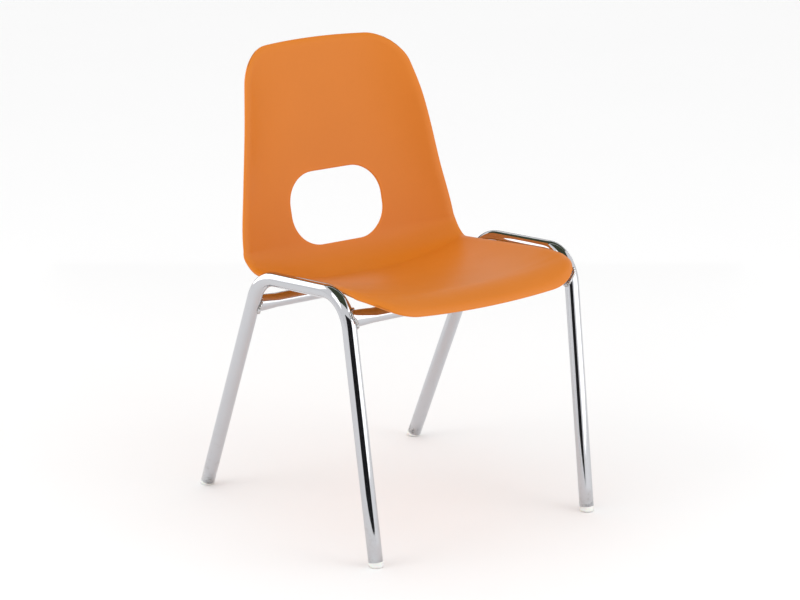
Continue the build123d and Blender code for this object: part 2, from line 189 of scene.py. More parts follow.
class Finish:
    """A material being mixed: a Principled shader and the nodes that feed it."""

    def __init__(self, name, **even):
        self.material = bpy.data.materials.new(name)
        self.material.use_nodes = True
        self.tree = self.material.node_tree
        self.shader = self.tree.nodes["Principled BSDF"]
        for socket, value in even.items():
            self.shader.inputs[socket.replace("_", " ")].default_value = value
        place = self.tree.nodes.new("ShaderNodeTexCoord")
        self.place = Signal(self, place.outputs["Object"])

    def node(self, kind, settings, sockets, output=0):
        """Adds a node of a type: its settings, then a value or a signal for each socket."""
        made = self.tree.nodes.new(kind)
        for name, value in settings.items():
            setattr(made, name, value)
        for name, value in sockets.items():
            if isinstance(value, Signal):
                self.tree.links.new(value.socket, made.inputs[name])
            else:
                made.inputs[name].default_value = value
        return Signal(self, made.outputs[output])

    def noise(self, scale, detail=2.0, roughness=0.5, place=None):
        sockets = {"Vector": place or self.place, "Scale": scale, "Detail": detail, "Roughness": roughness}
        return self.node("ShaderNodeTexNoise", {}, sockets)

    def span(self, signal, low, high, out_low=0.0, out_high=1.0):
        """A signal that climbs smoothly from one value to another between two levels."""
        sockets = {"Value": signal, "From Min": low, "From Max": high, "To Min": out_low, "To Max": out_high}
        return self.node("ShaderNodeMapRange", {"interpolation_type": "SMOOTHSTEP"}, sockets)

    def height(self):
        """Height above the floor."""
        return self.node("ShaderNodeSeparateXYZ", {}, {"Vector": self.place}, 2)

    def blend(self, share, first, second):
        """Mixes two colours.  The node's sockets share names, so they go by number."""
        sockets = {MIX_FACTOR: share, MIX_FIRST: first, MIX_SECOND: second}
        return self.node("ShaderNodeMix", {"data_type": "RGBA"}, sockets, MIX_RESULT)

    def feed(self, **signals):
        """Links signals to the shader's sockets."""
        for socket, signal in signals.items():
            self.tree.links.new(signal.socket, self.shader.inputs[socket.replace("_", " ")])

    def relief(self, height, strength, depth):
        """Bumps the surface by a height signal."""
        sockets = {"Height": height, "Strength": strength, "Distance": depth}
        self.feed(Normal=self.node("ShaderNodeBump", {}, sockets))


def mix_chrome():
    """Bright plate with wipe marks, pin-prick pitting and dulling where shoes rub the legs."""
    chrome = Finish("chrome_plate", Metallic=1.0)
    wipes = chrome.node("ShaderNodeMapping", {}, {"Vector": chrome.place, "Scale": (1.0, 1.0, 0.25)})
    smear = chrome.span(chrome.noise(9.0, 4.0, 0.6, wipes), 0.42, 0.72)
    pits = chrome.span(chrome.noise(620.0, 1.0), 0.70, 0.78)
    kicked = chrome.span(chrome.height(), 0.03, 0.16, 1.0, 0.0)
    scuffs = chrome.span(chrome.noise(70.0, 5.0, 0.7), 0.52, 0.75) * kicked
    clean = (0.56, 0.565, 0.59, 1.0)
    tarnish = (0.42, 0.41, 0.41, 1.0)
    dullness = chrome.node("ShaderNodeMath", {"operation": "MAXIMUM"}, {0: scuffs * 0.6, 1: pits * 0.8})
    chrome.feed(Base_Color=chrome.blend(dullness, clean, tarnish))
    chrome.feed(Roughness=0.045 + smear * 0.05 + scuffs * 0.16 + pits * 0.2)
    ripple = chrome.noise(38.0, 1.0) + chrome.noise(900.0, 2.0) * 0.04
    chrome.relief(ripple, 0.04, 0.001)
    return chrome.material


chrome_plate = mix_chrome()
for hand, side in SIDES.items():
    hoop = bmesh.new()
    outer_ends = bent_tube(hoop, side, TUBE_RADIUS)
    inner_ends = bent_tube(hoop, side, TUBE_RADIUS - TUBE_WALL)
    for outer_ring, inner_ring in zip(outer_ends, inner_ends):
        bmesh.ops.bridge_loops(hoop, edges=outer_ring + inner_ring)
    finished_piece(hand + "_hoop_tube", hoop, chrome_plate, hand + "_side_hoop")

# ---------------------------------------------------------------------------
# Cross rails.  Two lengths of the same tube hold the hoops apart and carry the shell.
# Their ends are squashed in a press to an upright oval and welded to the hoops.
# ---------------------------------------------------------------------------
FRONT_RAIL_HEIGHT = 0.4115
OVAL_HALF_HEIGHT = 0.015
OVAL_HALF_THICKNESS = 0.009
SQUASH_LENGTH = 0.034
SQUASH_STEPS = 14
RAILS = {"front": (front_leg_at, FRONT_RAIL_HEIGHT), "rear": (rear_leg_at, REAR_RAIL_HEIGHT)}


def rail_centre(end):
    """Middle of a rail's axis."""
    leg_at, height = RAILS[end]
    return Vector((0.0, leg_at(height, 1).y, height))


def distance_to_hoop_line(y, z):
    """How far a point of the side view is from a hoop's centre line."""
    corners = hoop_corners(1)
    bends = [rounded_corner(*corners[0:3], HOOP_REAR_BEND), rounded_corner(*corners[1:4], HOOP_FRONT_BEND)]
    stops = [corners[0], bends[0][0], bends[0][1], bends[1][0], bends[1][1], corners[3]]
    point = Vector((y, z))
    found = []
    for first, second in ((0, 1), (2, 3), (4, 5)):
        start = Vector(stops[first].yz)
        along = Vector(stops[second].yz) - start
        share = max(0.0, min(1.0, (point - start).dot(along) / along.length_squared))
        found.append((start + along * share - point).length)
    for (start, end, centre, _, _), radius in zip(bends, (HOOP_REAR_BEND, HOOP_FRONT_BEND)):
        hub = Vector(centre.yz)
        middle = (Vector(start.yz) + Vector(end.yz)) / 2 - hub
        reach = (Vector(start.yz) - hub).angle(middle)
        if (point - hub).length and (point - hub).angle(middle) <= reach:
            found.append(abs((point - hub).length - radius))
    return min(found)


def hoop_face_x(y, z):
    """Distance out from the chair's middle to the inner face of a hoop at (y, z)."""
    across = min(distance_to_hoop_line(y, z), TUBE_RADIUS)
    middle = front_leg_at(z, 1).x if y < 0 else rear_leg_at(z, 1).x
    return middle - math.sqrt(TUBE_RADIUS ** 2 - across ** 2)


def squashed(angle, share):
    """Point on the rail's outline, part of the way from round to oval."""
    half_y = TUBE_RADIUS + (OVAL_HALF_THICKNESS - TUBE_RADIUS) * share
    half_z = TUBE_RADIUS + (OVAL_HALF_HEIGHT - TUBE_RADIUS) * share
    return half_y * math.cos(angle), half_z * math.sin(angle)


def cross_rail(end):
    """One rail, drawn out both ways from its middle and trimmed where it meets the hoops."""
    centre = rail_centre(end)
    reach = RAILS[end][0](centre.z, 1).x
    round_to = reach - TUBE_RADIUS - SQUASH_LENGTH
    rail = bmesh.new()
    turn = Matrix.Rotation(math.pi / 2, 4, "Y")
    for way in (-1, 1):
        place = Matrix.Translation((0.0, centre.y, centre.z)) @ turn
        ring = circle_ring(rail, TUBE_SEGMENTS, TUBE_RADIUS, place)
        ring = push_ring(rail, ring, Vector((way * round_to, 0.0, 0.0)), STRAIGHT_STEPS)
        squash = Vector((way * (reach - round_to), 0.0, 0.0))
        ring = push_ring(rail, ring, squash, SQUASH_STEPS)
        bmesh.ops.contextual_create(rail, geom=ring)
    bmesh.ops.remove_doubles(rail, verts=rail.verts, dist=TUBE_RADIUS / TUBE_SEGMENTS)
    for vertex in rail.verts:
        out = abs(vertex.co.x)
        angle = math.atan2(vertex.co.z - centre.z, vertex.co.y - centre.y)
        share = max(0.0, (out - round_to) / (reach - round_to))
        share = share * (2 - share)
        y, z = squashed(angle, share)
        vertex.co.y = centre.y + y
        vertex.co.z = centre.z + z
        limit = hoop_face_x(vertex.co.y, vertex.co.z)
        if out > limit:
            vertex.co.x = math.copysign(limit, vertex.co.x)
    return rail


for end in RAILS:
    finished_piece(end + "_rail_tube", cross_rail(end), chrome_plate, end + "_cross_rail")

# ---------------------------------------------------------------------------
# Welds.  A bead of weld metal runs round each squashed rail end and ties it to the hoop.
# It is plated with the rest of the frame, so its overlapping ripples catch the light.
# ---------------------------------------------------------------------------
BEAD_RADIUS = 0.0032
BEAD_STAND_OUT = 0.0008
BEAD_STEPS = 144
BEAD_SEGMENTS = 14
RIPPLES = 26
RIPPLE_DEPTH = 0.16
RIPPLE_DRIFT = 0.4            # how unevenly the ripples are spaced
WIDE_LUMP, NARROW_LUMP = 0.08, 0.05


def weld_bead(end, side):
    """A rippled ring that follows the line where the oval meets the hoop."""
    centre = rail_centre(end)
    bead = bmesh.new()
    start = Matrix.Translation((0.0, OVAL_HALF_HEIGHT, 0.0))
    section = circle_ring(bead, BEAD_SEGMENTS, BEAD_RADIUS, start)
    bmesh.ops.spin(bead, geom=section, cent=(0, 0, 0), axis=(1, 0, 0), angle=math.tau,
                   steps=BEAD_STEPS, use_merge=True)
    bmesh.ops.remove_doubles(bead, verts=bead.verts, dist=BEAD_RADIUS / BEAD_STEPS)
    for vertex in bead.verts:
        angle = math.atan2(vertex.co.z, vertex.co.y)
        outward = math.hypot(vertex.co.y, vertex.co.z) - OVAL_HALF_HEIGHT
        drift = RIPPLE_DRIFT * math.sin(3 * angle)
        crest = 1 + RIPPLE_DEPTH * abs(math.sin(RIPPLES * angle / 2 + drift))
        lump = crest * (1 + WIDE_LUMP * math.sin(2 * angle + 1.0) + NARROW_LUMP * math.sin(5 * angle))
        outline_y = (OVAL_HALF_THICKNESS + BEAD_STAND_OUT) * math.cos(angle)
        outline_z = (OVAL_HALF_HEIGHT + BEAD_STAND_OUT) * math.sin(angle)
        y = centre.y + outline_y + outward * lump * math.cos(angle)
        z = centre.z + outline_z + outward * lump * math.sin(angle)
        seat = hoop_face_x(centre.y + outline_y, centre.z + outline_z)
        x = side * (seat - BEAD_STAND_OUT) + vertex.co.x * lump
        vertex.co = Vector((x, y, z))
    return bead


def mix_weld_chrome():
    """Plate over rough weld metal: duller, pitted and a little brown in the hollows."""
    weld = Finish("weld_plate", Metallic=1.0)
    lumps = weld.noise(260.0, 3.0, 0.6)
    hollow = weld.span(lumps, 0.40, 0.62, 1.0, 0.0)
    weld.feed(Base_Color=weld.blend(hollow, (0.64, 0.64, 0.66, 1.0), (0.36, 0.34, 0.32, 1.0)))
    weld.feed(Roughness=0.10 + hollow * 0.22)
    weld.relief(lumps, 0.35, 0.0008)
    return weld.material


weld_plate = mix_weld_chrome()
for end in RAILS:
    for hand, side in SIDES.items():
        corner = end + "_" + hand
        finished_piece(corner + "_weld_bead", weld_bead(end, side), weld_plate,
                       corner + "_weld")

# ---------------------------------------------------------------------------
# Feet.  Each leg ends in a milky polyethylene plug, pushed into the tube until its
# collar meets the cut end.  The sole is moulded flat to the floor with a soft edge.
# ---------------------------------------------------------------------------
SOLE_EDGE, SOLE_SEGMENTS = 0.0025, 5
COLLAR_GAP, COLLAR_SEGMENTS = 0.0004, 2
LEGS = {"front": front_leg_at, "rear": rear_leg_at}


def foot_plug(leg_at, side):
    """The part of the plug below the tube end, cut level with the floor."""
    end = leg_end(leg_at, side)
    up = (leg_at(1.0, side) - leg_at(0.0, side)).normalized()
    length = 2 * FOOT_HEIGHT
    plug = bmesh.new()
    place = Matrix.Translation(end - up * length / 2) @ up.to_track_quat("Z", "Y").to_matrix().to_4x4()
    bmesh.ops.create_cone(plug, cap_ends=True, segments=TUBE_SEGMENTS, radius1=TUBE_RADIUS,
                          radius2=TUBE_RADIUS, depth=length, matrix=place)
    whole = plug.verts[:] + plug.edges[:] + plug.faces[:]
    cut = bmesh.ops.bisect_plane(plug, geom=whole, plane_co=(0, 0, 0), plane_no=(0, 0, 1),
                                 clear_inner=True)
    sole = ring_edges(cut["geom_cut"])
    bmesh.ops.contextual_create(plug, geom=sole)
    bmesh.ops.bevel(plug, geom=sole, offset=SOLE_EDGE, segments=SOLE_SEGMENTS, profile=0.5,
                    material=-1, affect="EDGES")
    collar = [edge for edge in plug.edges
              if all((vertex.co - end).dot(up) > -COLLAR_GAP for vertex in edge.verts)]
    bmesh.ops.bevel(plug, geom=collar, offset=COLLAR_GAP, segments=COLLAR_SEGMENTS, profile=0.5,
                    material=-1, affect="EDGES")
    return plug


def mix_foot_plastic():
    """Natural polyethylene: cloudy, waxy, and grey with ground-in dirt at the sole."""
    plastic = Finish("milky_plastic", IOR=1.5, Subsurface_Weight=0.15, Subsurface_Scale=0.004)
    cloud = plastic.noise(90.0, 3.0)
    sole = plastic.span(plastic.height(), 0.0005, 0.0045, 1.0, 0.0)
    dirt = sole * plastic.span(cloud, 0.35, 0.65, 0.3, 1.0)
    clean = plastic.blend(cloud, (0.80, 0.80, 0.77, 1.0), (0.88, 0.88, 0.86, 1.0))
    plastic.feed(Base_Color=plastic.blend(dirt * 0.5, clean, (0.34, 0.32, 0.29, 1.0)))
    plastic.feed(Roughness=0.34 + dirt * 0.3 + cloud * 0.1)
    plastic.relief(plastic.noise(800.0, 2.0), 0.12, 0.0004)
    return plastic.material


milky_plastic = mix_foot_plastic()
for end, leg_at in LEGS.items():
    for hand, side in SIDES.items():
        corner = end + "_" + hand
        finished_piece(corner + "_foot_plug", foot_plug(leg_at, side), milky_plastic,
                       corner + "_foot")

# ---------------------------------------------------------------------------
# Seat shell.  Seat and back are one injection-moulded polypropylene shell, 5 mm thick,
# with a rolled rim all round and a hand hold.  The mould leaves a fine satin grain.
# ---------------------------------------------------------------------------
SHELL_THICKNESS = 0.005
SHELL_RAIL_GAP = 0.0035
OVERALL_HEIGHT = 0.790
NOSE_RADIUS = 0.122
NOSE_ANGLE = math.radians(30.0)
SEAT_BEND_RADIUS = 0.072
SEAT_BEND_BEHIND_RAIL = -0.0065
LOWER_RECLINE = math.radians(15.7)
UPPER_RECLINE = math.radians(10.3)
LIP_WIDTH = 0.016
LIP_DROP = 0.006
TOP_ARCH = 0.009
FRONT_BOW = 0.010
TOP_CORNER = 0.055
FRONT_CORNER = 0.087
# Stations along the shell: 0 front edge, 1 end of the nose, 2 and 3 the two ends of the
# bend into the back, 4 top edge.
HALF_WIDTH_AT = [(0.0, 0.226), (0.95, 0.226), (1.2, 0.223), (1.85, 0.2225), (2.4, 0.227),
                 (3.0, 0.2265), (3.3, 0.210), (3.65, 0.1895), (3.8, 0.178), (4.0, 0.160)]
SIDE_HEIGHT_AT = [(0.0, 0.004), (0.15, 0.006), (0.4, 0.010), (0.7, 0.0125), (0.95, 0.015),
                  (1.15, 0.023), (1.4, 0.026), (2.0, 0.029), (2.5, 0.034), (3.0, 0.035),
                  (3.25, 0.0385), (3.5, 0.044), (3.65, 0.044), (3.8, 0.037), (4.0, 0.023)]
CURL_POWER_AT = [(0.0, 2.0), (1.0, 2.3), (2.0, 2.7), (3.0, 3.0)]
OPENING_WIDTH = 0.195
OPENING_HEIGHT = 0.130
OPENING_CORNER = 0.057
OPENING_ABOVE_BEND = 0.052
GRID_ACROSS = 92
GRID_ALONG = 190
HOLE_ACROSS = 36
HOLE_ALONG = 26
HOLE_EASE = 15
EDGE_ROUND, EDGE_SEGMENTS = 0.0018, 4
SHARP_ANGLE = math.radians(50.0)
# How far in from the rim and the hand hold the edge wear and the painted rim highlight reach.
RIM_WEAR_AND_HIGHLIGHT_REACH = 0.0045
RIM_WEAR_AND_HIGHLIGHT_LAYER = "edge_wear_and_highlight"
OUTLINE_PASSES = 4
STRAIGHT_TURN = 1e-9


def interpolate(table, station):
    """Smooth curve through a table of (station, value), level beyond its two ends."""
    if station <= table[0][0]:
        return table[0][1]
    if station >= table[-1][0]:
        return table[-1][1]
    index = max(i for i, row in enumerate(table[:-1]) if row[0] <= station)
    slopes = []
    for i in (index, index + 1):
        low = max(i - 1, 0)
        high = min(i + 1, len(table) - 1)
        slopes.append((table[high][1] - table[low][1]) / (table[high][0] - table[low][0]))
    step = table[index + 1][0] - table[index][0]
    t = (station - table[index][0]) / step
    ease = t * t * (3 - 2 * t)
    value = table[index][1] * (1 - ease) + table[index + 1][1] * ease
    value += step * slopes[0] * t * (1 - t) ** 2
    return value - step * slopes[1] * (1 - t) * t ** 2


def walk(point, heading, length, turned):
    """End of an arc of the side profile, as (y, z)."""
    if abs(turned) < STRAIGHT_TURN:
        return point[0] + length * math.cos(heading), point[1] + length * math.sin(heading)
    radius = length / turned
    y = point[0] + radius * (math.sin(heading + turned) - math.sin(heading))
    return y, point[1] - radius * (math.cos(heading + turned) - math.cos(heading))


def profile_segments():
    """Side profile of the seating surface: nose, seat, bend and back, as arcs or lines."""
    front, rear = rail_centre("front"), rail_centre("rear")
    slope = math.atan2(rear.z - front.z, rear.y - front.y)
    normal = Vector((0.0, -math.sin(slope), math.cos(slope)))
    lift = normal * (TUBE_RADIUS + SHELL_RAIL_GAP + SHELL_THICKNESS)
    seat_start = (front.y + lift.y, front.z + lift.z)
    seat_length = (rear - front).length + SEAT_BEND_BEHIND_RAIL
    nose_turn = NOSE_ANGLE - slope
    nose_end = walk(seat_start, slope, -NOSE_RADIUS * nose_turn, nose_turn)
    bend_start = walk(seat_start, slope, seat_length, 0)
    back_heading = math.pi / 2 - LOWER_RECLINE
    bend_turn = back_heading - slope
    bend_length = SEAT_BEND_RADIUS * bend_turn
    back_start = walk(bend_start, slope, bend_length, bend_turn)
    back_turn = LOWER_RECLINE - UPPER_RECLINE
    back_length = (OVERALL_HEIGHT - back_start[1]) / math.sin(back_heading + back_turn / 2)
    return [(nose_end, NOSE_ANGLE, NOSE_RADIUS * nose_turn, -nose_turn),
            (seat_start, slope, seat_length, 0),
            (bend_start, slope, bend_length, bend_turn),
            (back_start, back_heading, back_length, back_turn)]


PROFILE = profile_segments()
SEAT_SLOPE = PROFILE[1][1]
SHELL_LENGTH = sum(segment[2] for segment in PROFILE)
OPENING_MIDDLE = SHELL_LENGTH - PROFILE[3][2] + OPENING_ABOVE_BEND
OPENING_FLAT_X = OPENING_WIDTH / 2 - OPENING_CORNER
OPENING_FLAT_Y = OPENING_HEIGHT / 2 - OPENING_CORNER
OPENING_QUARTER_ARC = OPENING_CORNER * math.pi / 2
OPENING_QUARTER = OPENING_FLAT_Y + OPENING_QUARTER_ARC + OPENING_FLAT_X


def station_at(travelled):
    """Station number a given distance along the profile from the front edge."""
    for index, segment in enumerate(PROFILE):
        if travelled <= segment[2] or index == len(PROFILE) - 1:
            return index + travelled / segment[2]
        travelled -= segment[2]


def distance_to_rim(across, travelled):
    """Distance in the shell surface from a point to the outer edge."""
    half_width = interpolate(HALF_WIDTH_AT, station_at(travelled))
    spread = (across / half_width) ** 2
    behind = travelled - FRONT_BOW * spread
    ahead = SHELL_LENGTH - travelled - TOP_ARCH * spread
    aside = half_width - abs(across)
    radius, end = (FRONT_CORNER, behind) if behind < ahead else (TOP_CORNER, ahead)
    if aside < radius and end < radius:
        return radius - math.hypot(radius - aside, radius - end)
    return min(aside, end)


def distance_to_hand_hold(across, travelled):
    """Distance in the shell surface from a point to the edge of the hand hold."""
    out_x = abs(across) - OPENING_FLAT_X
    out_y = abs(travelled - OPENING_MIDDLE) - OPENING_FLAT_Y
    return math.hypot(max(out_x, 0.0), max(out_y, 0.0)) - OPENING_CORNER


def surface_point(across, travelled, depth=0.0):
    """A point of the shell, a given depth under the seating surface."""
    station = station_at(travelled)
    half_width = interpolate(HALF_WIDTH_AT, station)
    side_height = interpolate(SIDE_HEIGHT_AT, station) + LIP_DROP
    roll = max(0.0, (LIP_WIDTH - distance_to_rim(across, travelled)) / LIP_WIDTH)
    curl = (abs(across) / half_width) ** interpolate(CURL_POWER_AT, station)
    height = side_height * curl - LIP_DROP * roll ** 2 - depth
    index = min(int(station), 3)
    start, heading, length, turned = PROFILE[index]
    y, z = walk(start, heading, length * (station - index), turned * (station - index))
    heading += turned * (station - index)
    return Vector((across, y - height * math.sin(heading), z + height * math.cos(heading)))


FRONT_FLAT = interpolate(HALF_WIDTH_AT, 0.0) - FRONT_CORNER
TOP_FLAT = interpolate(HALF_WIDTH_AT, 4.0) - TOP_CORNER
SIDE_START = FRONT_CORNER + FRONT_BOW
SIDE_LENGTH = SHELL_LENGTH - SIDE_START - TOP_CORNER - TOP_ARCH
STRETCHES = [FRONT_FLAT, FRONT_CORNER * math.pi / 2, SIDE_LENGTH, TOP_CORNER * math.pi / 2]
TO_FRONT_CORNER = FRONT_FLAT + STRETCHES[1] / 2
TO_TOP_CORNER = sum(STRETCHES) - STRETCHES[3] / 2
HALF_OUTLINE = sum(STRETCHES) + TOP_FLAT


def outline_at(walked):
    """Point of the trimmed outline, a distance round from the middle of the front edge."""
    index = 0
    while index < len(STRETCHES) and walked > STRETCHES[index]:
        walked -= STRETCHES[index]
        index += 1
    if index in (0, 4):
        end = 0.0
        aside = FRONT_CORNER + FRONT_FLAT - walked if index == 0 else TOP_CORNER + walked
    elif index == 2:
        travelled = SIDE_START + walked
        return interpolate(HALF_WIDTH_AT, station_at(travelled)), travelled
    else:
        radius = FRONT_CORNER if index == 1 else TOP_CORNER
        angle = walked / radius if index == 1 else math.pi / 2 - walked / radius
        aside = radius * (1 - math.sin(angle))
        end = radius * (1 - math.cos(angle))
    at_front = index < 3
    travelled = end if at_front else SHELL_LENGTH - end
    for _ in range(OUTLINE_PASSES):    # the width depends on where the bowed end lies, and it on the width
        across = max(0.0, interpolate(HALF_WIDTH_AT, station_at(travelled)) - aside)
        spread = (across / interpolate(HALF_WIDTH_AT, station_at(travelled))) ** 2
        travelled = end + FRONT_BOW * spread if at_front else SHELL_LENGTH - end - TOP_ARCH * spread
    return across, travelled


FRONT_ROW = [outline_at(abs(2 * i / GRID_ACROSS - 1) * TO_FRONT_CORNER) for i in range(GRID_ACROSS + 1)]
TOP_ROW = [outline_at(HALF_OUTLINE - abs(2 * i / GRID_ACROSS - 1) * (HALF_OUTLINE - TO_TOP_CORNER))
           for i in range(GRID_ACROSS + 1)]
SIDE_ROW = [outline_at(TO_FRONT_CORNER + j / GRID_ALONG * (TO_TOP_CORNER - TO_FRONT_CORNER))
            for j in range(GRID_ALONG + 1)]


def net_point(i, j):
    """Where net crossing (i, j) lies on the flat shell: (across, travelled)."""
    u = 2 * i / GRID_ACROSS - 1
    v = j / GRID_ALONG
    front, top, side = FRONT_ROW[i], TOP_ROW[i], SIDE_ROW[j]
    front_corner, top_corner = SIDE_ROW[0], SIDE_ROW[-1]
    across = (1 - v) * math.copysign(front[0], u) + v * math.copysign(top[0], u)
    across += u * (side[0] - (1 - v) * front_corner[0] - v * top_corner[0])
    travelled = (1 - v) * front[1] + v * top[1] + side[1]
    return across, travelled - (1 - v) * front_corner[1] - v * top_corner[1]


# The net row that passes nearest to the middle of the hand hold.
HOLE_ROW = min(range(GRID_ALONG), key=lambda j: abs(net_point(GRID_ACROSS // 2, j)[1] - OPENING_MIDDLE))


def hand_hold_quarter(share):
    """Point part of the way from the side of the hand hold round to its top, from its middle."""
    walked = share * OPENING_QUARTER
    if walked < OPENING_FLAT_Y:
        return OPENING_WIDTH / 2, walked
    if walked < OPENING_FLAT_Y + OPENING_QUARTER_ARC:
        angle = (walked - OPENING_FLAT_Y) / OPENING_CORNER
        x = OPENING_FLAT_X + OPENING_CORNER * math.cos(angle)
        return x, OPENING_FLAT_Y + OPENING_CORNER * math.sin(angle)
    return OPENING_FLAT_X - (walked - OPENING_FLAT_Y - OPENING_QUARTER_ARC), OPENING_HEIGHT / 2


def hole_edge_place(step_x, step_y):
    """Place on the hand hold's edge for a net crossing on the border of the removed block."""
    share_x = abs(step_x) / (HOLE_ACROSS // 2)
    share_y = abs(step_y) / (HOLE_ALONG // 2)
    to_corner = (OPENING_FLAT_Y + OPENING_QUARTER_ARC / 2) / OPENING_QUARTER
    if share_y <= share_x:
        share = share_y * to_corner
    else:
        share = 1 - share_x * (1 - to_corner)
    x, y = hand_hold_quarter(share)
    return math.copysign(x, step_x) if step_x else 0.0, math.copysign(y, step_y) if step_y else 0.0


def eased_net_point(i, j):
    """Net crossing drawn in or out so that the net's rows follow the hand hold's edge."""
    across, travelled = net_point(i, j)
    step_x, step_y = i - GRID_ACROSS // 2, j - HOLE_ROW
    near_x = max(-HOLE_ACROSS // 2, min(HOLE_ACROSS // 2, step_x))
    near_y = max(-HOLE_ALONG // 2, min(HOLE_ALONG // 2, step_y))
    away = max(abs(step_x - near_x), abs(step_y - near_y))
    if abs(near_x) < HOLE_ACROSS // 2 and abs(near_y) < HOLE_ALONG // 2 or away >= HOLE_EASE:
        return across, travelled
    from_x, from_y = net_point(near_x + GRID_ACROSS // 2, near_y + HOLE_ROW)
    to_x, to_y = hole_edge_place(near_x, near_y)
    fade = (1 - away / HOLE_EASE) ** 2
    across += (to_x - from_x) * fade
    return across, travelled + (to_y + OPENING_MIDDLE - from_y) * fade


def shell_skin():
    """The seating surface as one fine net, with the hand hold left open."""
    skin = bmesh.new()
    bmesh.ops.create_grid(skin, x_segments=GRID_ACROSS, y_segments=GRID_ALONG, size=0.5)
    wear_and_highlight = skin.verts.layers.float.new(RIM_WEAR_AND_HIGHLIGHT_LAYER)
    steps = {}
    for vertex in skin.verts:
        i = round((vertex.co.x + 0.5) * GRID_ACROSS)
        j = round((vertex.co.y + 0.5) * GRID_ALONG)
        steps[vertex] = (i - GRID_ACROSS // 2, j - HOLE_ROW)
        across, travelled = eased_net_point(i, j)
        rim = min(distance_to_rim(across, travelled), distance_to_hand_hold(across, travelled))
        # Nearness to the rim or the hand hold's edge, which the shell plastic uses for edge wear and for a
        # painted highlight.
        vertex[wear_and_highlight] = math.exp(-max(rim, 0.0) / RIM_WEAR_AND_HIGHLIGHT_REACH)
        vertex.co = surface_point(across, travelled)
    inside = [face for face in skin.faces
              if all(abs(steps[v][0]) <= HOLE_ACROSS // 2 and abs(steps[v][1]) <= HOLE_ALONG // 2
                     for v in face.verts)]
    bmesh.ops.delete(skin, geom=inside, context="FACES")
    return skin


def mix_shell_plastic():
    """Solid-colour polypropylene: fine grain, faint flow marks, polished where it is sat on, smoother from
    wear along its rims, and lighter there with a painted highlight.
    """
    plastic = Finish("orange_polypropylene", IOR=1.49, Specular_IOR_Level=0.30)
    flow = plastic.noise(3.2, 3.0, 0.55)
    speckle = plastic.noise(150.0, 2.0)
    wear_and_highlight = plastic.node("ShaderNodeAttribute", {"attribute_name": RIM_WEAR_AND_HIGHLIGHT_LAYER}, {}, 2)
    tone = plastic.span(flow, 0.3, 0.7) * 0.7 + speckle * 0.3
    body = plastic.blend(tone, (0.640, 0.183, 0.011, 1.0), (0.690, 0.202, 0.015, 1.0))
    # Near the rims the colour turns lighter orange: a painted highlight of light on the rolled edge. The
    # lower roughness there further down is real edge wear.
    plastic.feed(Base_Color=plastic.blend(wear_and_highlight * 0.55, body, (0.740, 0.206, 0.008, 1.0)))
    seat = plastic.span(plastic.height(), 0.36, 0.50, 1.0, 0.0)
    rubbed = plastic.span(plastic.noise(7.0, 3.0), 0.38, 0.66) * seat
    scratches = plastic.node("ShaderNodeMapping", {}, {"Vector": plastic.place, "Scale": (9.0, 1.2, 1.2)})
    scratch = plastic.span(plastic.noise(46.0, 2.0, 0.5, scratches), 0.66, 0.74) * rubbed
    plastic.feed(Roughness=0.43 - rubbed * 0.07 + flow * 0.05 + scratch * 0.12 - wear_and_highlight * 0.08)
    grain = plastic.noise(1100.0, 2.0, 0.6) + plastic.noise(420.0, 1.0) * 0.5 - scratch * 0.6
    plastic.relief(grain, 0.10, 0.00035)
    return plastic.material


orange_polypropylene = mix_shell_plastic()
shell = finished_piece("seat_shell_skin", shell_skin(), orange_polypropylene, "seat_shell")
if shell.data.polygons[0].normal.z < 0:    # an open net has no inside, so it may come out face down
    shell.data.flip_normals()
wall = shell.modifiers.new("wall", "SOLIDIFY")
wall.thickness = SHELL_THICKNESS
wall.offset = -1.0
wall.use_even_offset = True
rounding = shell.modifiers.new("edge_round", "BEVEL")
rounding.width = EDGE_ROUND
rounding.segments = EDGE_SEGMENTS
rounding.limit_method = "ANGLE"
rounding.angle_limit = SHARP_ANGLE
rounding.use_clamp_overlap = False
shell.modifiers.new("even_shading", "WEIGHTED_NORMAL")

# ---------------------------------------------------------------------------
# Saddles.  Four channels are moulded under the seat, in one with the shell.  Each sits
# over a cross rail like a half clamp, and takes one screw up through the rail.
# ---------------------------------------------------------------------------
MOUNT_SPACING = 0.150
SADDLE_LENGTH = 0.036
SADDLE_WALL = 0.0045
SADDLE_REACH = 0.002
SADDLE_CLEARANCE = 0.0001
SADDLE_SLICES = 8
SADDLE_STEPS = 32
SADDLE_EDGE, SADDLE_SEGMENTS = 0.0008, 2


